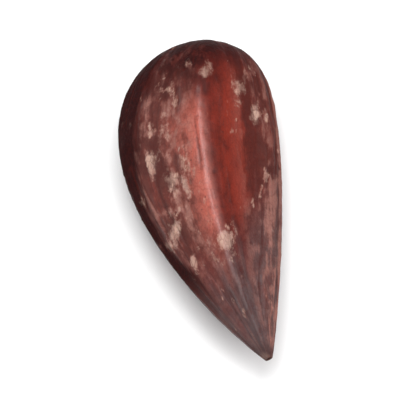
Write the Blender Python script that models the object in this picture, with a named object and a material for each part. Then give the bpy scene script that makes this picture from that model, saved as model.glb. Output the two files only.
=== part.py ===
"""A dried quince seed, lying on its broad side.

The seed is one solid. It is drop-shaped, blunt at +Y and pointed at -Y, with the point bent towards +X.
Its neighbours in the fruit pressed it to a low roof: a broad belly below, two hollowed flanks above,
and a keel between them. The keel carries the raphe, from the scar at the point to the chalaza at the
blunt end.

Lengths are in metres and +Z is up. The origin is the middle of the seed's box, on the surface it lies on.
A place on the coat is given by s, which is 0 at the blunt end and 1 at the point, and by turn, the angle
round the seed, which is 0 at the margin on +X and a quarter turn at the keel.
"""

import math

import bmesh
import bpy
from mathutils import Vector, noise

MM = 0.001

# Driving dimensions
LENGTH = 8.0 * MM
WIDTH = 3.82 * MM
KEEL_RISE = 1.5 * MM  # from the margin up to the keel, at the widest place
BELLY_DROP = 1.12 * MM  # from the margin down to the lowest line of the belly
POINT_BEND = 2.0 * MM  # how far the point stands to the side of the middle
BLUNT_BEND = 0.46 * MM  # how far the blunt end leans to the same side
REST_CUT = 0.07 * MM  # how much of the belly the flat resting spot takes
SCAR_CUT = 0.14 * MM  # how much of the sharp point the scar takes

# The outline from above: powers of the distance from the blunt end and from the point
BLUNT_POWER = 0.43
POINT_POWER = 0.92
POINT_BEND_POWER = 2.1
BLUNT_BEND_POWER = 3

# The section across. A span gives the s where something starts to rise or fade, and where it has done so.
KEEL_ROUNDING = 0.16  # of the half-width
ROOF_SHARE = 0.66  # 1 gives straight flanks, 0 a plain oval
ROOF_RISE_SPAN = (0.0, 0.22)
ROOF_FADE = 0.45  # of the roof share, lost towards the point
ROOF_FADE_SPAN = (0.7, 1.0)
HEIGHT_POWER = 0.86  # under 1, the seed stays tall longer than it stays wide towards both ends
BELLY_POWER = 0.74  # under 1, the belly is flatter than an oval
POINT_LIFT = 0.16 * MM
POINT_LIFT_SPAN = (0.45, 1.0)
BLUNT_LIFT = 0.05 * MM
BLUNT_LIFT_SPAN = (0.0, 0.3)

# Relief
UPPER_SPAN = (0.0, 0.25)  # of the sine of turn: relief of the upper side only starts at the margin
HOLLOW_DEPTH = 0.1 * MM  # the flanks sink beside the keel as the seed dries
HOLLOW_PLACE = 0.43  # of the half-width
HOLLOW_SPREAD = 0.2
HOLLOW_RISE_SPAN = (0.03, 0.25)
HOLLOW_FADE_SPAN = (0.75, 0.97)
RAPHE_HEIGHT = 0.05 * MM
RAPHE_SPREAD = 0.08  # of the half-width
RAPHE_RISE_SPAN = (0.06, 0.21)
RAPHE_FADE_SPAN = (0.85, 1.0)
CHALAZA_HEIGHT = 0.05 * MM
CHALAZA_PLACE = 0.06  # the s of its middle, on the keel
CHALAZA_SPREAD = 0.4 * MM
WRINKLE_HEIGHT = 0.035 * MM
WRINKLES_AROUND = 3.2
WRINKLES_ALONG = 0.9
DENT_HEIGHT = 0.06 * MM
DENTS_AROUND = 1.3
DENTS_ALONG = 3.4
DENT_SEED = Vector((4.0, 1.0, 7.0))
SCAR_PIT = 0.05 * MM
SCAR_RIM = 0.035 * MM

# Mesh
SIDES = 84
RINGS = 52
MERGE_DISTANCE = 1e-9
SHARP_ANGLE = math.radians(35)

SHARP_LENGTH = LENGTH + SCAR_CUT
SHARP_WAY = Vector((POINT_BEND * POINT_BEND_POWER, -SHARP_LENGTH, 0)).normalized()


def rise(span, value):
    """0 before the span, 1 after it, and a smooth way up between."""
    share = min(max((value - span[0]) / (span[1] - span[0]), 0.0), 1.0)
    return share * share * (3 - 2 * share)


def fade(span, value):
    return 1 - rise(span, value)


def swell(distance, spread):
    """A soft bump of height 1."""
    return math.exp(-((distance / spread) ** 2))


def fullness(s):
    """The half-width at s, as a share of the greatest one."""
    widest = BLUNT_POWER / (BLUNT_POWER + POINT_POWER)
    return (s / widest) ** BLUNT_POWER * ((1 - s) / (1 - widest)) ** POINT_POWER


def middle_line(s):
    """The middle of the seed at s, at the height of its margin."""
    lift = POINT_LIFT * rise(POINT_LIFT_SPAN, s) + BLUNT_LIFT * fade(BLUNT_LIFT_SPAN, s)
    sideways = POINT_BEND * s**POINT_BEND_POWER + BLUNT_BEND * (1 - s) ** BLUNT_BEND_POWER
    return Vector((sideways, SHARP_LENGTH * (0.5 - s), lift))


def flank(across, up, s):
    """The upper side's height as a share of the keel's: a roof with a rounded keel, more oval at the ends."""
    softened = math.hypot(across, KEEL_ROUNDING) - KEEL_ROUNDING
    roof = 1 - softened / (math.hypot(1, KEEL_ROUNDING) - KEEL_ROUNDING)
    share = ROOF_SHARE * rise(ROOF_RISE_SPAN, s) * (1 - ROOF_FADE * rise(ROOF_FADE_SPAN, s))
    return share * roof + (1 - share) * up


def smooth_surface(s, turn):
    """The coat without its relief."""
    across, up = math.cos(turn), math.sin(turn)
    tall = fullness(s) ** HEIGHT_POWER
    if up >= 0:
        height = KEEL_RISE * tall * flank(across, up, s)
    else:
        height = -BELLY_DROP * tall * (-up) ** BELLY_POWER
    return middle_line(s) + Vector((WIDTH / 2 * fullness(s) * across, 0, height))


def relief(s, turn):
    """How far the coat stands out from the smooth surface."""
    across, up = math.cos(turn), math.sin(turn)
    upper = rise(UPPER_SPAN, up)
    hollow = upper * swell(abs(across) - HOLLOW_PLACE, HOLLOW_SPREAD)
    hollow *= rise(HOLLOW_RISE_SPAN, s) * fade(HOLLOW_FADE_SPAN, s)
    raphe = upper * swell(across, RAPHE_SPREAD) * rise(RAPHE_RISE_SPAN, s) * fade(RAPHE_FADE_SPAN, s)
    to_chalaza = smooth_surface(s, turn) - smooth_surface(CHALAZA_PLACE, math.pi / 2)
    chalaza = swell(to_chalaza.length, CHALAZA_SPREAD)
    wrinkles = noise.noise(Vector((WRINKLES_AROUND * across, WRINKLES_AROUND * up, WRINKLES_ALONG * s)))
    dents = noise.noise(DENT_SEED + Vector((DENTS_AROUND * across, DENTS_AROUND * up, DENTS_ALONG * s)))
    uneven = (WRINKLE_HEIGHT * wrinkles + DENT_HEIGHT * dents) * fullness(s)
    return RAPHE_HEIGHT * raphe + CHALAZA_HEIGHT * chalaza - HOLLOW_DEPTH * hollow + uneven


def station(share):
    """Spreads the rings: close together round the blunt end, and evenly towards the point."""
    return share * share / (share * share - share + 1)


def shape_coat(bm):
    """Bends a unit sphere into the seed, its upper pole to the blunt end and its lower pole to the point."""
    places = {}
    for vert in bm.verts:
        share = math.acos(max(-1.0, min(1.0, vert.co.z))) / math.pi
        places[vert] = station(share), math.atan2(-vert.co.y, vert.co.x)
        vert.co = smooth_surface(*places[vert])
    bm.normal_update()
    raised = [(vert, vert.co + vert.normal * relief(*place)) for vert, place in places.items()]
    for vert, place in raised:
        vert.co = place


def cut_flat(bm, place, outward):
    """Cuts away what lies past a plane, closes the cut with one flat face, and returns that face."""
    whole = bm.verts[:] + bm.edges[:] + bm.faces[:]
    bmesh.ops.bisect_plane(
        bm, geom=whole, plane_co=place, plane_no=outward, clear_outer=True, dist=MERGE_DISTANCE
    )
    rim = [edge for edge in bm.edges if edge.is_boundary]
    return bmesh.ops.edgeloop_fill(bm, edges=rim)["faces"][0]


def make_resting_spot(bm):
    lowest = min(vert.co.z for vert in bm.verts)
    cut_flat(bm, Vector((0, 0, lowest + REST_CUT)), Vector((0, 0, -1)))


def make_scar(bm):
    """The hilum, where the seed was held in the fruit: a small pit with a rim across the point."""
    sharp_point = min((vert.co for vert in bm.verts), key=lambda co: co.y)
    scar = cut_flat(bm, sharp_point - SHARP_WAY * SCAR_CUT, SHARP_WAY)
    bmesh.ops.inset_region(bm, faces=[scar], thickness=SCAR_RIM)
    bmesh.ops.translate(bm, verts=scar.verts[:], vec=-SHARP_WAY * SCAR_PIT)


def move_to_origin(bm):
    low = Vector(min(vert.co[axis] for vert in bm.verts) for axis in range(3))
    high = Vector(max(vert.co[axis] for vert in bm.verts) for axis in range(3))
    middle = (low + high) / 2
    bmesh.ops.translate(bm, verts=bm.verts[:], vec=-Vector((middle.x, middle.y, low.z)))


def coat_material():
    """Polished mahogany brown."""
    material = bpy.data.materials.new("seed_coat")
    material.use_nodes = True
    shader = material.node_tree.nodes["Principled BSDF"]
    shader.inputs["Base Color"].default_value = (0.165, 0.034, 0.020, 1)
    shader.inputs["Roughness"].default_value = 0.42
    shader.inputs["Metallic"].default_value = 0.0
    return material


def make_seed(collection):
    bm = bmesh.new()
    bmesh.ops.create_uvsphere(bm, u_segments=SIDES, v_segments=RINGS, radius=1)
    shape_coat(bm)
    make_resting_spot(bm)
    make_scar(bm)
    move_to_origin(bm)
    mesh = bpy.data.meshes.new("seed")
    bm.to_mesh(mesh)
    bm.free()
    mesh.shade_smooth()
    mesh.set_sharp_from_angle(angle=SHARP_ANGLE)
    mesh.materials.append(coat_material())
    collection.objects.link(bpy.data.objects.new("seed", mesh))


def main():
    for item in list(bpy.data.objects):
        bpy.data.objects.remove(item, do_unlink=True)
    collection = bpy.data.collections.new("quince_seed")
    bpy.context.scene.collection.children.link(collection)
    make_seed(collection)


main()
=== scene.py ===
"""The finished looks of a dried quince seed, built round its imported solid.

The seed is one piece, a fine mesh in the solid's own form. On it are the raphe along the keel, the scar at
the point, the chalaza at the blunt end, a lip along the margins, lengthwise wrinkles, streaks and creases,
small pits, and flakes of a dried film.

A place on the coat is given by s, which is 0 at the blunt end and 1 at the point, and by turn, the angle
round the seed, which is 0 at the margin on +X and a quarter turn at the keel. The cosine and sine of turn
are called across and up. Lengths are in metres.
"""

import math
from types import SimpleNamespace

import bmesh
import bpy
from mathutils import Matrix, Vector, noise


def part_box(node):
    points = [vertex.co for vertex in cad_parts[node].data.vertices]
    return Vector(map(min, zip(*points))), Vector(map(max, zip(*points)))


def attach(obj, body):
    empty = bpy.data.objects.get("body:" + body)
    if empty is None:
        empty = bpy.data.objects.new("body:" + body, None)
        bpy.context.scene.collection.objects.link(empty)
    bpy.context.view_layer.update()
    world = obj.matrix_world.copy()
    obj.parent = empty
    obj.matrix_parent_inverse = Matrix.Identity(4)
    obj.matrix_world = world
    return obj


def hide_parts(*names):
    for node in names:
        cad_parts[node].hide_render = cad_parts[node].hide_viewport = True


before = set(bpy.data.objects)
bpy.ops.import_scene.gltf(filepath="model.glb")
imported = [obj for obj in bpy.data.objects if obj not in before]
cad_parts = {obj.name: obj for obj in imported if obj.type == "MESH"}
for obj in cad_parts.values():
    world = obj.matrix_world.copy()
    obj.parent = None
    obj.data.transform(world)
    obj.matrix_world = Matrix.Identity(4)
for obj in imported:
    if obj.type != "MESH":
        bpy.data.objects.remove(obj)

bl_info = {
    "name": "Quince Seed",
    "version": (1, 0, 0),
    "blender": (4, 5, 0),
    "location": "3D View > Sidebar > Quince Seed",
    "description": "Makes a dried quince seed and a plain studio round it",
    "category": "Add Mesh",
}

MM = 0.001
MERGE_DISTANCE = 1e-9
SHARP_ANGLE = math.radians(50)
SEED_LOW, SEED_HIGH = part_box("seed")
SEED_SIZE = SEED_HIGH - SEED_LOW
SEED_MIDDLE = (SEED_LOW + SEED_HIGH) / 2

# A span gives the value where something starts to rise or fade, and the value where it has done so.

# The drop's outline and section: powers, shares, and spans of s
BLUNT_POWER = 0.43
POINT_POWER = 0.92
POINT_BEND_POWER = 2.1
BLUNT_BEND_POWER = 3
KEEL_ROUNDING = 0.16
ROOF_SHARE = 0.66
ROOF_RISE_SPAN = (0.0, 0.22)
ROOF_FADE = 0.45
ROOF_FADE_SPAN = (0.7, 1.0)
HEIGHT_POWER = 0.86
BELLY_POWER = 0.74
POINT_LIFT_SPAN = (0.45, 1.0)
BLUNT_LIFT_SPAN = (0.0, 0.3)

# Broad relief. Places and spreads across are shares of the half-width.
UPPER_SPAN = (0.0, 0.25)
HOLLOW_PLACE = 0.43
HOLLOW_SPREAD = 0.2
HOLLOW_RISE_SPAN = (0.03, 0.25)
HOLLOW_FADE_SPAN = (0.75, 0.97)
RAPHE_SPREAD = 0.11
RAPHE_RISE_SPAN = (0.06, 0.21)
RAPHE_FADE_SPAN = (0.85, 1.0)
CHALAZA_PLACE = 0.06
CHALAZA_SPREAD = 0.4 * MM
CHALAZA_TINT_SPREAD = 0.55 * MM

# Fine relief
BODY_POWER = 0.5
FLANK_SPAN = (0.0, 0.3)
LENGTHWISE_SPAN = (0.0, 0.1)
LIP_PLACE = 0.18
LIP_SPREAD = 0.09
FOLD_PLACE = 0.44
FOLD_SPREAD = 0.09
FURROW_PLACE = 0.64
FURROW_SPREAD = 0.08
FURROW_SHARE = 0.7
FOLD_RISE_SPAN = (0.06, 0.2)
FOLD_FADE_SPAN = (0.4, 0.7)
PIT_SPREAD = 0.10
COARSE_CREASE_SPREAD = 0.09
FINE_CREASE_SPREAD = 0.12
FINE_CREASE_SHARE = 0.45
CREASE_KEPT_SPAN = (-0.2, 0.2)
FULL_RELIEF = 0.02 * MM  # the height that the finish takes as 1

# Noise that runs along the seed: waves in its half-width and in its length
WRINKLE_WAVES = (3.2, 0.9)
DENT_WAVES = (1.3, 3.4)
STREAK_WAVES = (8, 1.4)
FINE_STREAK_WAVES = (19, 3.0)
LIP_WAVES = (1.0, 3.0)
COARSE_CREASE_WAVES = (3.6, 2.4)
FINE_CREASE_WAVES = (8.0, 5.0)
CREASE_KEPT_WAVES = (2.2, 7.0)

# Other noise: waves or cells in a millimetre
PEBBLE_WAVES = 3.4
FINE_PEBBLE_WAVES = 7.6
GRAIN_CELLS = 6.0
PIT_CELLS = 1.9
FILM_WAVES = Vector((2.6, 1.7, 2.6))
FILM_FRACTAL = (0.75, 2.1, 5)  # how its finer waves fade, how much finer each is, and their number

DENT_SEED = Vector((4.0, 1.0, 7.0))
FILM_SEED = Vector((11.0, 5.0, 2.0))
PIT_SEED = Vector((3.0, 8.0, 1.0))
CREASE_SEED = Vector((7.0, 2.0, 9.0))

# How much film is kept where. Film lies where these and the noise come to more than 0.
FILM_EVERYWHERE = -0.68
FILM_ON_LEFT = 0.16
FILM_ON_KEEL = -0.14
FILM_ON_MARGIN = -0.2
FILM_ON_STRIP = -0.2
FILM_ON_SPOTS = 0.75
FILM_LEFT_SPAN = (-0.35, 0.25)
FILM_KEEL_SPREAD = 0.03
FILM_MARGIN_RISE_SPAN = (-0.9, -0.6)
FILM_MARGIN_FADE_SPAN = (0.1, 0.5)
FILM_STRIP_PLACE = 0.28
FILM_STRIP_SPREAD = 0.16
FILM_EDGE_SPAN = (0.0, 0.14)

# The places where most is left of the film: s, how far across, and radius in millimetres
FILM_SPOTS = (
    (0.298, -0.53, 0.18),
    (0.402, -0.66, 0.15),
    (0.463, -0.54, 0.15),
    (0.450, -0.30, 0.16),
    (0.608, -0.65, 0.17),
    (0.641, -0.83, 0.12),
    (0.662, -0.03, 0.19),
    (0.180, 0.54, 0.13),
    (0.152, 0.13, 0.10),
    (0.243, 0.71, 0.11),
)
SPOT_SQUEEZE = Vector((1, 0.65, 1))
VEIL_SPREAD = 2.0

# The parts of the coat that look different, by up, across or s
UPPER_SIDE = (-0.05, 0.3)
UNDERSIDE = (-0.5, -0.9)
HAZY_UNDERSIDE = (-0.55, -0.9)
LEFT_FLANK = (0.05, -0.30)
HAZY_LEFT_END = (0.85, 0.55)
RIGHT_FLANK = (0.32, 0.90)
OFF_BLUNT_END = (0.0, 0.14)
# The keel's paler colour is partly wear and partly a painted highlight on the keel's left shoulder.
KEEL_ALONG = ((0.18, 0.33), (0.78, 0.58))
KEEL_ACROSS = ((-0.34, -0.08), (0.15, -0.06))
WORN_AND_LIT_ACROSS = ((-0.62, -0.17), (0.07, -0.05))
# The margins are darker partly in the coat's own colour and partly as painted shade, more on the left; the
# blunt end is darker as painted shade.
MARGIN_UP = ((0.76, 0.54), (-0.75, -0.35))
MARGIN_NARROW_ALONG = ((0.32, 0.5), (0.76, 0.64))
MARGIN_PALE_ALONG = (0.72, 0.86)
BLUNT_SHADE_ALONG = (0.28, 0.06)
BLUNT_SHADE_SHORTER_ACROSS = (-0.1, 0.3)
GLOW_ACROSS = ((0.08, 0.30), (0.85, 0.35))
GLOW_ALONG = ((0.06, 0.24), (0.70, 0.42))
POINT_ALONG = (0.56, 0.88)
DARK_TIP = (0.93, 0.985)
PALE_TIP = (0.965, 0.985)
SCAR_ALONG = (0.986, 0.996)
GLOSS_ALONG = (0.02, 0.24)
DULL_ACROSS = (0.03, 0.15)
DULL_MARGIN_ACROSS = (0.6, 0.9)

# The finish's patterns that follow the coat: waves across, up and along
WANDER_WAVES = (5, 5, 6)
LONG_STREAK_WAVES = (5, 5, 1.8)
BLOTCH_WAVES = (5, 5, 10)

# The finish's other patterns: waves or cells in a metre. Some are stretched along the seed.
LONG_STRETCH = (1, 0.6, 1)
BROAD_SCALE = 700
MOTTLE_SCALE = 3400
GRAIN_SCALE = 16000
BORDER_SCALE = 8600
PIT_SCALE = 5200
PIT_GROUP_SCALE = 1500
SPECK_SCALE = 3300
SPECK_GROUP_SCALE = 1000

# Where the patterns begin to show and where they are whole
BORDER_SPAN = (0.14, 0.0)
PIT_SPAN = (0.16, 0.04)
PIT_GROUP_SPAN = (0.50, 0.62)
SPECK_SPAN = (0.34, 0.14)
SPECK_GRAIN_SPAN = (0.46, 0.56)
SPECK_GROUP_SPAN = (0.54, 0.64)
# RAISED_SPAN and SUNK_SPAN: raised relief is painted lighter and sunk relief painted darker, as painted
# light and shade
RAISED_SPAN = (-0.9, 1.1)
SUNK_SPAN = (-0.25, -0.8)
TONE_SPAN = (0.36, 0.64)
HAZE_SPAN = (0.44, 0.56)
BROKEN_SPAN = (0.34, 0.66)
RAGGED_SPAN = (0.52, 0.80)
PATCHY_SPAN = (0.35, 0.65)
PATCHY_END_SPAN = (0.45, 0.65)
PATCHY_MARGIN_SPAN = (0.1, 0.4)
DEEP_GRAIN_SPAN = (0.6, 0.3)

# Relief that is too fine for the mesh
MOTTLE_BUMP = 0.010 * MM
BORDER_BUMP = 0.003 * MM
GRAIN_BUMP = 0.003 * MM
PIT_BUMP = 0.010 * MM

# What is the same all over the coat
COAT_VALUES = {
    "Coat Roughness": 0.30,
    "Specular IOR Level": 0.06,
    "Subsurface Weight": 0.10,
    "Subsurface Scale": 0.25 * MM,
    "Subsurface Radius": (1.0, 0.25, 0.12),
}

# The Mix node's sockets for colours
MIX_FACTOR, MIX_FIRST, MIX_SECOND, MIX_RESULT = 0, 6, 7, 2

# The stage. Each soft box has a name, azimuth and elevation in degrees, width in metres and power in watts.
LIGHTS = (
    ("key_light", 240, 74, 0.22, 0.42),
    ("top_light", 178, 78, 0.16, 0.48),
    ("side_light", 90, 52, 0.22, 0.38),
    ("fill_light", 300, 60, 0.22, 0.10),
)
LIGHT_DISTANCE = 0.30
SKY_COLOUR = (0.99, 0.99, 1.0)
SKY_STRENGTH = 0.40
FLOOR_HALF_WIDTH = 1.0
FLOOR_ROUGHNESS = 0.8
CLIP_RATIO = 100


def rise(span, value):
    """0 before the span, 1 after it, and a smooth way up between."""
    share = min(max((value - span[0]) / (span[1] - span[0]), 0.0), 1.0)
    return share * share * (3 - 2 * share)


def fade(span, value):
    return 1 - rise(span, value)


def swell(distance, spread):
    """A soft bump of height 1."""
    return math.exp(-((distance / spread) ** 2))


def length_property(name, description, default):
    return bpy.props.FloatProperty(
        name=name, description=description, default=default, min=0, precision=6, unit="LENGTH"
    )


def colour_property(name, description, default):
    return bpy.props.FloatVectorProperty(
        name=name, description=description, default=default, min=0, max=1, size=3, subtype="COLOR"
    )


def share_property(name, description, default):
    return bpy.props.FloatProperty(
        name=name, description=description, default=default, min=0, max=1, subtype="FACTOR"
    )


class QuinceSeedForm(bpy.types.PropertyGroup):
    length: length_property("Length", "From the blunt end to the sharp point, before the scar", 8.14 * MM)
    width: length_property("Width", "Across the margins, at the widest place", 3.82 * MM)
    keel_rise: length_property("Keel Rise", "From the margin up to the keel", 1.5 * MM)
    belly_drop: length_property("Belly Drop", "From the margin down to the belly's lowest line", 1.12 * MM)
    point_bend: length_property("Point Bend", "How far the point stands to the side", 2.0 * MM)
    blunt_bend: length_property("Blunt Bend", "How far the blunt end leans to the same side", 0.46 * MM)
    point_lift: length_property("Point Lift", "How far the margin rises towards the point", 0.16 * MM)
    blunt_lift: length_property("Blunt Lift", "How far the margin rises towards the blunt end", 0.05 * MM)
    rest_cut: length_property("Rest Cut", "How much of the belly the flat resting spot takes", 0.07 * MM)
    scar_cut: length_property("Scar Cut", "How much of the sharp point the scar takes", 0.14 * MM)
    sides: bpy.props.IntProperty(
        name="Sides", description="Faces round the seed", default=380, min=16, max=400
    )
    rings: bpy.props.IntProperty(
        name="Rings", description="Faces along the seed", default=250, min=16, max=260
    )


class QuinceSeedRelief(bpy.types.PropertyGroup):
    hollow: length_property("Hollows", "How deep the flanks sink beside the keel", 0.1 * MM)
    raphe: length_property("Raphe", "How high the raphe stands on the keel", 0.03 * MM)
    chalaza: length_property("Chalaza", "How high the chalaza stands at the blunt end", 0.05 * MM)
    wrinkle: length_property("Wrinkles", "Height of the broad lengthwise wrinkles", 0.035 * MM)
    dent: length_property("Dents", "Height of the broad uneven places", 0.06 * MM)
    lip: length_property("Margin Lip", "How high the lip stands along the margin", 0.020 * MM)
    fold: length_property("Fold", "Height of the fold along the flank that the point bends to", 0.035 * MM)
    streak: length_property("Streaks", "Height of the fine lengthwise streaks", 0.009 * MM)
    crease: length_property("Creases", "Depth of the fine creases that run along the seed", 0.018 * MM)
    pebble: length_property("Pebbles", "Height of the coat's fine unevenness", 0.010 * MM)
    grain: length_property("Grain", "Height of the coat's rounded cells", 0.005 * MM)
    pit: length_property("Pits", "Depth of the scattered pits", 0.022 * MM)
    film: length_property("Film", "Thickness of the dried film", 0.008 * MM)
    curl: length_property("Film Edge", "How far the film's broken edges stand up", 0.010 * MM)
    scar_rim: length_property("Scar Rim", "Width of the rim round the scar", 0.035 * MM)
    scar_pit: length_property("Scar Pit", "Depth of the scar", 0.05 * MM)


class QuinceSeedFinish(bpy.types.PropertyGroup):
    deep: colour_property("Deep Red", "The clean coat where it is darkest", (0.055, 0.007, 0.005))
    bright: colour_property("Bright Red", "The clean coat where it is brightest", (0.172, 0.019, 0.011))
    amber: colour_property("Amber", "Where the pale kernel shines through the coat", (0.200, 0.020, 0.009))
    # The margin colour is partly the margins' own darker colour and partly painted shade, on the left
    # margin and over the blunt end.
    margin: colour_property("Margin", "The coat along the margins", (0.019, 0.0038, 0.0038))
    # The keel colour is partly wear and partly a painted highlight on the keel's left shoulder.
    keel: colour_property("Keel", "The worn coat on the keel", (0.43, 0.100, 0.070))
    # On the right side this colour is partly the film and partly a painted reflection of the pale floor.
    film: colour_property("Film", "The thin haze of dried film", (0.285, 0.126, 0.102))
    flake: colour_property("Flake", "The thicker flakes of dried film", (0.46, 0.300, 0.238))
    point: colour_property("Point", "The coat towards the point", (0.066, 0.053, 0.055))
    # In the pits this colour is a painted shade.
    scar: colour_property("Scar", "The bottom of the scar and of the pits", (0.030, 0.014, 0.012))


class QuinceSeedStage(bpy.types.PropertyGroup):
    elevation: bpy.props.FloatProperty(
        name="Camera Elevation",
        description="How far the camera stands above the horizon",
        default=math.radians(70),
        subtype="ANGLE",
    )
    fill: share_property("Frame Fill", "The seed's share of the picture's height", 0.8)
    lens: bpy.props.FloatProperty(
        name="Lens", description="Focal length in millimetres", default=800, min=20, max=1000
    )
    paper: colour_property("Paper", "The floor", (0.86, 0.86, 0.86))


# The seed's form


def fullness(s):
    """The half-width at s, as a share of the greatest one."""
    widest = BLUNT_POWER / (BLUNT_POWER + POINT_POWER)
    return (s / widest) ** BLUNT_POWER * ((1 - s) / (1 - widest)) ** POINT_POWER


def flank(across, up, s):
    """The upper side's height as a share of the keel's: a roof with a round keel, more oval at the ends."""
    softened = math.hypot(across, KEEL_ROUNDING) - KEEL_ROUNDING
    roof = 1 - softened / (math.hypot(1, KEEL_ROUNDING) - KEEL_ROUNDING)
    share = ROOF_SHARE * rise(ROOF_RISE_SPAN, s) * (1 - ROOF_FADE * rise(ROOF_FADE_SPAN, s))
    return share * roof + (1 - share) * up


def smooth_surface(form, s, turn):
    """The coat without its relief."""
    across, up = math.cos(turn), math.sin(turn)
    tall = fullness(s) ** HEIGHT_POWER
    height = form.point_lift * rise(POINT_LIFT_SPAN, s) + form.blunt_lift * fade(BLUNT_LIFT_SPAN, s)
    if up >= 0:
        height += form.keel_rise * tall * flank(across, up, s)
    else:
        height -= form.belly_drop * tall * (-up) ** BELLY_POWER
    sideways = form.point_bend * s**POINT_BEND_POWER + form.blunt_bend * (1 - s) ** BLUNT_BEND_POWER
    sideways += form.width / 2 * fullness(s) * across
    return Vector((sideways, form.length * (0.5 - s), height))


def round_noise(across, up, s, waves, seed=Vector()):
    """Noise that runs along the seed, with no seam where turn starts again."""
    around, along = waves
    return noise.noise(seed + Vector((around * across, around * up, along * s)))


def broad_relief(form, relief, s, turn):
    """The relief that the solid has too."""
    across, up = math.cos(turn), math.sin(turn)
    upper = rise(UPPER_SPAN, up)
    hollow = upper * swell(abs(across) - HOLLOW_PLACE, HOLLOW_SPREAD)
    hollow *= rise(HOLLOW_RISE_SPAN, s) * fade(HOLLOW_FADE_SPAN, s)
    raphe = upper * swell(across, RAPHE_SPREAD) * rise(RAPHE_RISE_SPAN, s) * fade(RAPHE_FADE_SPAN, s)
    to_chalaza = smooth_surface(form, s, turn) - smooth_surface(form, CHALAZA_PLACE, math.pi / 2)
    chalaza = swell(to_chalaza.length, CHALAZA_SPREAD)
    wrinkles = relief.wrinkle * round_noise(across, up, s, WRINKLE_WAVES)
    dents = relief.dent * round_noise(across, up, s, DENT_WAVES, DENT_SEED)
    uneven = (wrinkles + dents) * fullness(s)
    return relief.raphe * raphe + relief.chalaza * chalaza - relief.hollow * hollow + uneven


def near_spots(place, spots, spread):
    """How near a place is to one of the spots, from 0 to 1. The spots are longer than wide."""
    return max(swell(((place - spot) * SPOT_SQUEEZE).length, radius * spread) for spot, radius in spots)


def film_cover(across, up, place, near):
    """How much of a flake of dried film there is: 0 where it has gone and 1 where it is whole."""
    left = fade(FILM_LEFT_SPAN, across)
    keel = swell(up - 1, FILM_KEEL_SPREAD)
    margin = rise(FILM_MARGIN_RISE_SPAN, up) * fade(FILM_MARGIN_FADE_SPAN, up)
    strip = swell(across - FILM_STRIP_PLACE, FILM_STRIP_SPREAD)
    kept = FILM_EVERYWHERE + FILM_ON_LEFT * left + FILM_ON_KEEL * keel + FILM_ON_MARGIN * margin
    kept += FILM_ON_SPOTS * near + FILM_ON_STRIP * strip * rise(FLANK_SPAN, up)
    patches = noise.fractal(FILM_SEED + place * FILM_WAVES, *FILM_FRACTAL)
    return rise(FILM_EDGE_SPAN, patches + kept)


def crease_depth(across, up, s):
    """How much of a crease there is: thin wandering lines along the seed, broken here and there."""
    kept = rise(CREASE_KEPT_SPAN, round_noise(across, up, s, CREASE_KEPT_WAVES, PIT_SEED))
    coarse = swell(round_noise(across, up, s, COARSE_CREASE_WAVES, CREASE_SEED), COARSE_CREASE_SPREAD)
    fine = swell(round_noise(across, up, s, FINE_CREASE_WAVES, CREASE_SEED), FINE_CREASE_SPREAD)
    return coarse * kept + FINE_CREASE_SHARE * fine * (1 - 0.6 * kept)


def fine_relief(relief, across, up, s, place, film):
    """The relief that is too fine for the solid. place is in millimetres."""
    streaks = round_noise(across, up, s, STREAK_WAVES)
    streaks += 0.25 * round_noise(across, up, s, FINE_STREAK_WAVES, DENT_SEED)
    pebbles = noise.noise(place * PEBBLE_WAVES) + 0.5 * noise.noise(place * FINE_PEBBLE_WAVES)
    cells = 0.5 - noise.voronoi(place * GRAIN_CELLS)[0][0]
    pits = swell(noise.voronoi(place * PIT_CELLS + PIT_SEED)[0][0], PIT_SPREAD)
    lip = swell(up - LIP_PLACE, LIP_SPREAD) * (0.8 + 0.3 * round_noise(across, up, s, LIP_WAVES, PIT_SEED))
    fold = rise(FLANK_SPAN, up) * rise(FOLD_RISE_SPAN, s) * fade(FOLD_FADE_SPAN, s)
    furrow = FURROW_SHARE * swell(across - FURROW_PLACE, FURROW_SPREAD)
    fold *= swell(across - FOLD_PLACE, FOLD_SPREAD) - furrow
    edge = 4 * film * (1 - film)
    lengthwise = relief.streak * streaks + relief.lip * lip - relief.crease * crease_depth(across, up, s)
    height = relief.pebble * pebbles + relief.grain * cells + relief.fold * fold - relief.pit * pits
    height += lengthwise * rise(LENGTHWISE_SPAN, s)
    return height * fullness(s) ** BODY_POWER + relief.film * film + relief.curl * edge


def station(share):
    """Spreads the rings: close together round the blunt end, and evenly towards the point."""
    return share * share / (share * share - share + 1)


def raise_coat(bm, height_of):
    """Moves each point of the coat out along its normal."""
    bm.normal_update()
    raised = [(vert, vert.co + vert.normal * height_of(vert)) for vert in bm.verts]
    for vert, place in raised:
        vert.co = place


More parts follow.
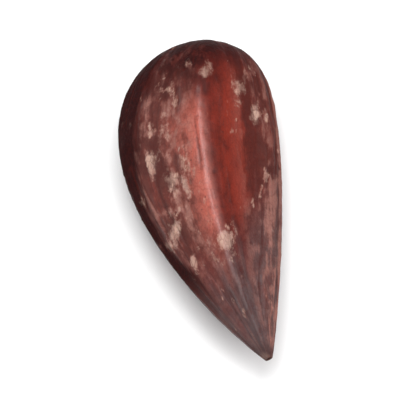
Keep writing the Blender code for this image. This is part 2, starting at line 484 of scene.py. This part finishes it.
def shape_coat(bm, form, relief):
    """Wraps a square grid round into the seed and notes on each point what its finish depends on."""
    numbers = bm.verts.layers.float
    s_of, turn_of = numbers.new("s"), numbers.new("turn")
    marks_of, veil_of = bm.verts.layers.float_vector.new("marks"), numbers.new("veil")
    for vert in bm.verts:
        vert[s_of], vert[turn_of] = station(vert.co.y + 0.5), math.tau * (vert.co.x + 0.5)
        vert.co = smooth_surface(form, vert[s_of], vert[turn_of])
    bmesh.ops.remove_doubles(bm, verts=bm.verts[:], dist=MERGE_DISTANCE)
    raise_coat(bm, lambda vert: broad_relief(form, relief, vert[s_of], vert[turn_of]))
    top = smooth_surface(form, CHALAZA_PLACE, math.pi / 2)
    spots = [(smooth_surface(form, s, math.acos(across)) / MM, radius) for s, across, radius in FILM_SPOTS]

    def fine_height(vert):
        across, up, s = math.cos(vert[turn_of]), math.sin(vert[turn_of]), vert[s_of]
        place = vert.co / MM
        film = film_cover(across, up, place, near_spots(place, spots, 1.0))
        vert[veil_of] = near_spots(place, spots, VEIL_SPREAD)
        height = fine_relief(relief, across, up, s, place, film)
        vert[marks_of] = film, swell((vert.co - top).length, CHALAZA_TINT_SPREAD), height / FULL_RELIEF
        return height

    raise_coat(bm, fine_height)


def cut_flat(bm, place, outward):
    """Cuts away what lies past a plane, closes the cut with one flat face, and returns that face."""
    whole = bm.verts[:] + bm.edges[:] + bm.faces[:]
    bmesh.ops.bisect_plane(
        bm, geom=whole, plane_co=place, plane_no=outward, clear_outer=True, dist=MERGE_DISTANCE
    )
    rim = [edge for edge in bm.edges if edge.is_boundary]
    return bmesh.ops.edgeloop_fill(bm, edges=rim)["faces"][0]


def make_resting_spot(bm, form):
    lowest = min(vert.co.z for vert in bm.verts)
    cut_flat(bm, Vector((0, 0, lowest + form.rest_cut)), Vector((0, 0, -1)))


def make_scar(bm, form, relief):
    """The hilum, where the seed was held in the fruit: a small pit with a rim across the point."""
    way = Vector((form.point_bend * POINT_BEND_POWER, -form.length, 0)).normalized()
    sharp_point = min((vert.co for vert in bm.verts), key=lambda co: co.y)
    scar = cut_flat(bm, sharp_point - way * form.scar_cut, way)
    bmesh.ops.inset_region(bm, faces=[scar], thickness=relief.scar_rim)
    bmesh.ops.translate(bm, verts=scar.verts[:], vec=-way * relief.scar_pit)
    s_of = bm.verts.layers.float["s"]
    for vert in scar.verts:
        vert[s_of] = 1.0


def fit_to_solid(bm):
    """Brings the mesh to the solid's box, which its fine relief leaves it slightly off."""
    low = Vector(min(vert.co[axis] for vert in bm.verts) for axis in range(3))
    high = Vector(max(vert.co[axis] for vert in bm.verts) for axis in range(3))
    size = high - low
    stretch = Vector(SEED_SIZE[axis] / size[axis] for axis in range(3))
    bmesh.ops.translate(bm, verts=bm.verts[:], vec=-(low + high) / 2)
    bmesh.ops.scale(bm, verts=bm.verts[:], vec=stretch)
    bmesh.ops.translate(bm, verts=bm.verts[:], vec=SEED_MIDDLE)


def name_coat_places(mesh):
    """Stores across, up and s on each point, for the finish to follow. They come from s and turn."""
    s_values = [item.value for item in mesh.attributes["s"].data]
    turns = [item.value for item in mesh.attributes["turn"].data]
    coat = mesh.attributes.new("coat", "FLOAT_VECTOR", "POINT")
    places = [(math.cos(turn), math.sin(turn), s) for s, turn in zip(s_values, turns)]
    coat.data.foreach_set("vector", [number for place in places for number in place])


# The seed's finish


class Signal:
    """A socket that gives a value. Python's operators on it add Math nodes."""

    def __init__(self, paint, socket):
        self.paint = paint
        self.socket = socket

    def __add__(self, other):
        return self.paint.math("ADD", self, other)

    __radd__ = __add__

    def __sub__(self, other):
        return self.paint.math("SUBTRACT", self, other)

    def __rsub__(self, other):
        return self.paint.math("SUBTRACT", other, self)

    def __mul__(self, other):
        return self.paint.math("MULTIPLY", self, other)

    __rmul__ = __mul__


class Paint:
    """A material's node tree, with one method that adds any node."""

    def __init__(self, name):
        self.material = bpy.data.materials.new(name)
        self.material.use_nodes = True
        self.tree = self.material.node_tree
        self.shader = self.tree.nodes["Principled BSDF"]

    def node(self, kind, settings=None, inputs=None, output=0):
        """Adds a node, sets it, then sets or links its sockets, and gives one of its outputs."""
        node = self.tree.nodes.new(kind)
        for name, value in (settings or {}).items():
            setattr(node, name, value)
        self.feed(node, inputs or {})
        return Signal(self, node.outputs[output])

    def feed(self, node, inputs):
        for name, value in inputs.items():
            if isinstance(value, Signal):
                self.tree.links.new(value.socket, node.inputs[name])
            else:
                node.inputs[name].default_value = value

    def math(self, operation, *values):
        return self.node("ShaderNodeMath", {"operation": operation}, dict(enumerate(values)))

    def attribute(self, name, output):
        return self.node("ShaderNodeAttribute", {"attribute_name": name}, output=output)

    def step(self, span, value):
        """0 before the span and 1 after it. The span may run down."""
        settings = {"interpolation_type": "SMOOTHSTEP"}
        inputs = {"Value": value, "From Min": span[0], "From Max": span[1]}
        return self.node("ShaderNodeMapRange", settings, inputs)

    def between(self, spans, value):
        """1 between two spans and 0 outside them."""
        return self.step(spans[0], value) * self.step(spans[1], value)

    def mix(self, factor, first, second):
        """Blends two colours, each a link or three numbers."""
        ends = [end if isinstance(end, Signal) else (*end, 1) for end in (first, second)]
        inputs = {MIX_FACTOR: factor, MIX_FIRST: ends[0], MIX_SECOND: ends[1]}
        return self.node("ShaderNodeMix", {"data_type": "RGBA"}, inputs, MIX_RESULT)

    def stretch(self, vector, scale):
        settings = {"operation": "MULTIPLY"}
        return self.node("ShaderNodeVectorMath", settings, {0: vector, 1: scale})

    def noise(self, vector, scale, detail=4, roughness=0.55, distortion=0.0):
        inputs = {"Vector": vector, "Scale": scale, "Detail": detail}
        inputs.update({"Roughness": roughness, "Distortion": distortion})
        return self.node("ShaderNodeTexNoise", {}, inputs)

    def cells(self, vector, scale, feature="F1"):
        inputs = {"Vector": vector, "Scale": scale}
        return self.node("ShaderNodeTexVoronoi", {"feature": feature}, inputs)

    def parts(self, vector):
        """Splits a vector into its three numbers."""
        node = self.node("ShaderNodeSeparateXYZ", inputs={0: vector}).socket.node
        return [Signal(self, output) for output in node.outputs]

    def bump(self, height, distance, normal=None):
        inputs = {"Height": height, "Distance": distance, "Strength": 1.0}
        if normal:
            inputs["Normal"] = normal
        return self.node("ShaderNodeBump", {}, inputs)


def coat_regions(paint, coat):
    """Across, up and s, and the parts of the coat that look different, each 1 inside and 0 outside."""
    across, up, s = paint.parts(coat)
    wander = paint.noise(paint.stretch(coat, WANDER_WAVES), 1, detail=5, roughness=0.6) - 0.5
    upper = paint.step(UPPER_SIDE, up)
    left = paint.step(LEFT_FLANK, across)
    right = paint.step(RIGHT_FLANK, across)
    off_end = paint.step(OFF_BLUNT_END, s)
    along_keel = paint.between(KEEL_ALONG, s)
    inner = up + 0.4 * wander + 0.17 * paint.between(MARGIN_NARROW_ALONG, s)
    margin = paint.step(MARGIN_UP[0], inner) * paint.step(MARGIN_UP[1], up)
    wavy_s = s + 0.1 * wander + 0.08 * paint.step(BLUNT_SHADE_SHORTER_ACROSS, across)
    glow = paint.step(GLOW_ACROSS[0], across) * paint.step(GLOW_ACROSS[1], across + 0.5 * wander) * upper
    return SimpleNamespace(
        across=across,
        up=up,
        s=s,
        upper=upper,
        left=left,
        right=right,
        off_end=off_end,
        # keel and worn_and_lit: partly wear, partly a painted highlight on the keel's left shoulder
        keel=paint.between(KEEL_ACROSS, across) * upper * along_keel,
        worn_and_lit=paint.between(WORN_AND_LIT_ACROSS, across) * upper * along_keel,
        # margin is partly the coat's darker colour and partly painted shade
        margin=margin * (1 - 0.6 * paint.step(MARGIN_PALE_ALONG, s)) * off_end,
        # blunt is painted shade at the blunt end, reaching further down on the left
        blunt=paint.step(BLUNT_SHADE_ALONG, wavy_s),
        glow=glow * paint.between(GLOW_ALONG, s),
        point=paint.step(POINT_ALONG, s + 0.2 * right - 0.08 * left),
    )


def coat_patterns(paint, coat, height, off_end):
    """The coat's fine patterns. The noises run round 0.5, and the marks from 0 to 1."""
    place = paint.node("ShaderNodeTexCoord", output="Object")
    long_place = paint.stretch(place, LONG_STRETCH)
    streak_place = paint.stretch(coat, LONG_STREAK_WAVES)
    streaks = paint.noise(streak_place, 1, detail=6, roughness=0.62, distortion=0.6)
    blotch_place = paint.stretch(coat, BLOTCH_WAVES)
    grain = paint.noise(place, GRAIN_SCALE, roughness=0.6)
    borders = paint.cells(long_place, BORDER_SCALE, "DISTANCE_TO_EDGE")
    pit_groups = paint.step(PIT_GROUP_SPAN, paint.noise(place, PIT_GROUP_SCALE, detail=2))
    speck_groups = paint.noise(place, SPECK_GROUP_SCALE, detail=3, roughness=0.6)
    specks = paint.step(SPECK_SPAN, paint.cells(place, SPECK_SCALE)) * paint.step(SPECK_GRAIN_SPAN, grain)
    return SimpleNamespace(
        broad=paint.noise(place, BROAD_SCALE, detail=3),
        streaks=0.5 + (streaks - 0.5) * off_end,
        mottle=paint.noise(long_place, MOTTLE_SCALE, detail=6, roughness=0.64),
        blotch=paint.noise(blotch_place, 1, detail=6, roughness=0.62, distortion=0.5),
        grain=grain,
        borders=paint.step(BORDER_SPAN, borders),
        pits=paint.step(PIT_SPAN, paint.cells(place, PIT_SCALE)) * pit_groups,
        specks=specks * paint.step(SPECK_GROUP_SPAN, speck_groups),
        # raised and sunk lighten and darken the colour by the relief's height: painted light and shade
        raised=paint.step(RAISED_SPAN, height),
        sunk=paint.step(SUNK_SPAN, height),
    )


def film_haze_and_reflection(paint, region, pattern):
    """How much there is of the pale haze. It is thickest on the flanks and below. Mostly it is the thin
    haze of film; on the right side it is partly film and partly a painted reflection of the pale floor.
    """
    broken = pattern.blotch * 0.50 + pattern.mottle * 0.30 + pattern.raised * 0.20
    # region.right: partly film, partly a painted reflection of the pale floor on the right side
    clouded = region.left * region.upper * paint.step(HAZY_LEFT_END, region.s) * 0.95 + region.right * 0.75
    clouded = clouded + region.point * 0.25 + paint.step(HAZY_UNDERSIDE, region.up) * 0.5
    return clouded * (0.15 + 0.85 * paint.step(HAZE_SPAN, broken)) * region.off_end


def dark_coat_and_shade(paint, region, pattern, chalaza):
    """How dark the coat is: along the margins, at the blunt end and a little on the chalaza. Along the
    margins it is partly the coat's darker colour and partly painted shade, much weaker on the right; at the
    blunt end it is painted shade.
    """
    patchy = 0.95 - 0.40 * paint.step(PATCHY_END_SPAN, pattern.mottle)
    dark = region.margin * (1 - 0.8 * region.right) * paint.step(PATCHY_MARGIN_SPAN, pattern.mottle)
    return paint.math("MINIMUM", dark + region.blunt * patchy + chalaza * 0.3, 1)


def coat_colour(paint, finish, region, pattern, film, veil, haze, dark):
    """Lays the colours over each other, from the clean coat to the flakes of film and what is sunk. Some of
    them are painted light: a highlight on the keel, shade along the margins, at the blunt end, in the pits
    and where the relief is sunk, and a reflection of the floor on the right.
    """
    mottle = pattern.mottle
    # The tone is lighter where the relief stands up: a painted light on the raised places
    tone = pattern.broad * 0.35 + pattern.streaks * 0.20 + mottle * 0.25 + pattern.raised * 0.20
    colour = paint.mix(paint.step(TONE_SPAN, tone), finish.deep, finish.bright)
    for place, span, strength, tint in (
        (region.glow, (0.25, 0.65), 0.7, finish.amber),
        # the keel tints: partly wear, partly a painted highlight
        (region.worn_and_lit, (0.25, 0.7), 0.75, finish.keel),
        (region.keel, (0.15, 0.55), 0.85, finish.keel),
        (region.point, (0.1, 0.6), 0.85, finish.point),
    ):
        colour = paint.mix(place * paint.step(span, mottle) * strength, colour, tint)
    colour = paint.mix(haze, colour, finish.film)
    broken = paint.step(BROKEN_SPAN, mottle * 0.6 + pattern.blotch * 0.3 + pattern.grain * 0.1)
    ragged = paint.step(RAGGED_SPAN, 0.45 * veil + 0.60 * broken)
    colour = paint.mix(ragged * (0.10 + 0.60 * broken), colour, finish.flake)
    # The dark margins and blunt end: partly the coat's own colour, partly painted shade
    colour = paint.mix(dark, colour, finish.margin)
    speckled = pattern.specks * 0.5 * (region.left * region.upper + 0.5 * region.right)
    patchy = paint.step(PATCHY_SPAN, mottle)
    flake = film * (0.35 + 0.45 * patchy) * (1 - 0.5 * pattern.borders)
    colour = paint.mix((flake + speckled) * (1 - 0.7 * dark), colour, finish.flake)
    colour = paint.mix(paint.step(DARK_TIP, region.s) * 0.6, colour, finish.margin)
    colour = paint.mix(paint.step(PALE_TIP, region.s) * patchy * 0.4, colour, finish.flake)
    # Darker in the scar, and at the bottom of the pits, where it is a painted shade in these small hollows
    colour = paint.mix(pattern.pits * 0.6 + paint.step(SCAR_ALONG, region.s) * 0.9, colour, finish.scar)
    # Darker where the relief is sunk, a painted shade in the creases and pits; also darker along the cell
    # borders and in patches of the grain
    deep_grain = paint.step(DEEP_GRAIN_SPAN, pattern.grain)
    sunk_shade_and_grain = pattern.sunk * 0.45 + pattern.borders * 0.16 + deep_grain * 0.2
    return paint.mix(sunk_shade_and_grain, colour, finish.deep)


def coat_gloss(paint, region, film, haze, dark):
    """How much sheen the coat has. It is dull under film, where it is dark, right of the keel and below."""
    gloss = (0.56 - 0.28 * haze) * (1 - 0.8 * film) * (1 - dark) * paint.step(GLOSS_ALONG, region.s)
    beside_keel = paint.step(DULL_ACROSS, region.across)
    near_margin = paint.step(DULL_MARGIN_ACROSS, region.across)
    gloss = gloss * (1 - 0.75 * beside_keel - 0.15 * near_margin)
    return gloss * (1 - 0.7 * paint.step(UNDERSIDE, region.up))


def coat_bumps(paint, pattern):
    """The relief that is too fine for the mesh."""
    normal = paint.bump(pattern.mottle, MOTTLE_BUMP)
    normal = paint.bump(1 - pattern.borders, BORDER_BUMP, normal)
    normal = paint.bump(pattern.grain, GRAIN_BUMP, normal)
    return paint.bump(1 - pattern.pits, PIT_BUMP, normal)


def coat_finish(finish):
    """Dried seed coat: satin mahogany under what is left of a thin pale film, with painted light in its
    colour: a highlight on the keel, shade along the margins, at the blunt end and in sunk relief, and a
    reflection of the floor on the right.
    """
    paint = Paint("seed_coat")
    coat = paint.attribute("coat", "Vector")
    film, chalaza, height = paint.parts(paint.attribute("marks", "Vector"))
    veil = paint.attribute("veil", "Fac")
    region = coat_regions(paint, coat)
    pattern = coat_patterns(paint, coat, height, region.off_end)
    haze = film_haze_and_reflection(paint, region, pattern)
    dark = dark_coat_and_shade(paint, region, pattern, chalaza)
    inputs = {
        "Base Color": coat_colour(paint, finish, region, pattern, film, veil, haze, dark),
        "Roughness": 0.34 + 0.20 * film + 0.16 * haze + 0.14 * pattern.mottle + 0.25 * dark,
        "Coat Weight": coat_gloss(paint, region, film, haze, dark),
        "Normal": coat_bumps(paint, pattern),
    }
    paint.feed(paint.shader, {**inputs, **COAT_VALUES})
    return paint.material


def plain_finish(name, colour, roughness):
    paint = Paint(name)
    paint.feed(paint.shader, {"Base Color": (*colour, 1), "Roughness": roughness})
    return paint.material


def new_object(name, bm):
    """Puts a finished bmesh in an object of that name, shaded smooth."""
    mesh = bpy.data.meshes.new(name)
    bm.to_mesh(mesh)
    bm.free()
    mesh.shade_smooth()
    item = bpy.data.objects.new(name, mesh)
    bpy.context.scene.collection.objects.link(item)
    return item


class QUINCE_OT_make_seed(bpy.types.Operator):
    """Make the seed with its fine relief and its finish"""

    bl_idname = "quince.make_seed"
    bl_label = "Make Seed"

    def execute(self, context):
        form, relief = context.scene.quince_form, context.scene.quince_relief
        bm = bmesh.new()
        bmesh.ops.create_grid(bm, x_segments=form.sides, y_segments=form.rings, size=0.5)
        shape_coat(bm, form, relief)
        make_resting_spot(bm, form)
        make_scar(bm, form, relief)
        fit_to_solid(bm)
        seed = new_object("seed_fine", bm)
        name_coat_places(seed.data)
        seed.data.set_sharp_from_angle(angle=SHARP_ANGLE)
        seed.data.materials.append(coat_finish(context.scene.quince_finish))
        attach(seed, "root")
        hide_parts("seed")
        return {"FINISHED"}


class QUINCE_OT_make_stage(bpy.types.Operator):
    """Make the floor, the lights, the surroundings and the camera"""

    bl_idname = "quince.make_stage"
    bl_label = "Make Stage"

    def execute(self, context):
        stage = context.scene.quince_stage
        make_floor(stage)
        for light in LIGHTS:
            make_light(*light)
        make_surroundings()
        make_camera(stage)
        context.scene.view_settings.view_transform = "Standard"
        return {"FINISHED"}


def way_towards(azimuth, elevation):
    """The unit vector away from the seed. Azimuth 0 is towards -Y and 90 towards +X, in degrees."""
    turn, tilt = math.radians(azimuth), math.radians(elevation)
    return Vector((math.sin(turn) * math.cos(tilt), -math.cos(turn) * math.cos(tilt), math.sin(tilt)))


def aim(item, way, distance):
    """Stands a light or a camera that far off, facing the seed."""
    item.location = SEED_MIDDLE + way * distance
    item.rotation_mode = "QUATERNION"
    item.rotation_quaternion = (-way).to_track_quat("-Z", "Y")
    bpy.context.scene.collection.objects.link(item)


def make_floor(stage):
    bm = bmesh.new()
    bmesh.ops.create_grid(bm, x_segments=1, y_segments=1, size=FLOOR_HALF_WIDTH)
    bmesh.ops.translate(bm, verts=bm.verts[:], vec=(0, 0, SEED_LOW.z))
    floor = new_object("floor", bm)
    floor.data.materials.append(plain_finish("paper", stage.paper, FLOOR_ROUGHNESS))


def make_light(name, azimuth, elevation, size, power):
    """A square soft box, which the camera doesn't see."""
    light = bpy.data.lights.new(name, "AREA")
    light.size = size
    light.energy = power
    item = bpy.data.objects.new(name, light)
    item.visible_camera = False
    aim(item, way_towards(azimuth, elevation), LIGHT_DISTANCE)


def make_surroundings():
    """Soft, almost white light from all sides."""
    world = bpy.data.worlds.new("studio")
    world.use_nodes = True
    background = world.node_tree.nodes["Background"]
    background.inputs["Color"].default_value = (*SKY_COLOUR, 1)
    background.inputs["Strength"].default_value = SKY_STRENGTH
    bpy.context.scene.world = world


def make_camera(stage):
    """Looks at the seed from the photograph's angle, so far off that it fills its share of the picture."""
    camera = bpy.data.cameras.new("camera")
    camera.lens = stage.lens
    elevation = stage.elevation
    seen = math.hypot(SEED_SIZE.y * math.sin(elevation), SEED_SIZE.z * math.cos(elevation))
    distance = seen / stage.fill * camera.lens / camera.sensor_width
    camera.clip_start = distance / CLIP_RATIO
    camera.clip_end = distance * CLIP_RATIO
    item = bpy.data.objects.new("camera", camera)
    aim(item, way_towards(0, math.degrees(elevation)), distance)
    bpy.context.scene.camera = item


class QUINCE_PT_panel(bpy.types.Panel):
    """Lists the seed's values and the steps that make it"""

    bl_idname = "QUINCE_PT_panel"
    bl_label = "Quince Seed"
    bl_space_type = "VIEW_3D"
    bl_region_type = "UI"
    bl_category = "Quince Seed"

    def draw(self, context):
        for name in GROUPS:
            group = getattr(context.scene, name)
            box = self.layout.box()
            for key in group.__annotations__:
                box.prop(group, key)
        for operator in OPERATORS:
            self.layout.operator(operator.bl_idname)


GROUPS = {
    "quince_form": QuinceSeedForm,
    "quince_relief": QuinceSeedRelief,
    "quince_finish": QuinceSeedFinish,
    "quince_stage": QuinceSeedStage,
}
OPERATORS = (QUINCE_OT_make_seed, QUINCE_OT_make_stage)


def register():
    for group in GROUPS.values():
        bpy.utils.register_class(group)
    for name, group in GROUPS.items():
        setattr(bpy.types.Scene, name, bpy.props.PointerProperty(type=group))
    for operator in OPERATORS:
        bpy.utils.register_class(operator)
    bpy.utils.register_class(QUINCE_PT_panel)


def unregister():
    bpy.utils.unregister_class(QUINCE_PT_panel)
    for operator in reversed(OPERATORS):
        bpy.utils.unregister_class(operator)
    for name, group in reversed(GROUPS.items()):
        delattr(bpy.types.Scene, name)
        bpy.utils.unregister_class(group)


def main():
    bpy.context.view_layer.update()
    register()
    bpy.ops.quince.make_seed()
    bpy.ops.quince.make_stage()


if __name__ == "__main__":
    main()
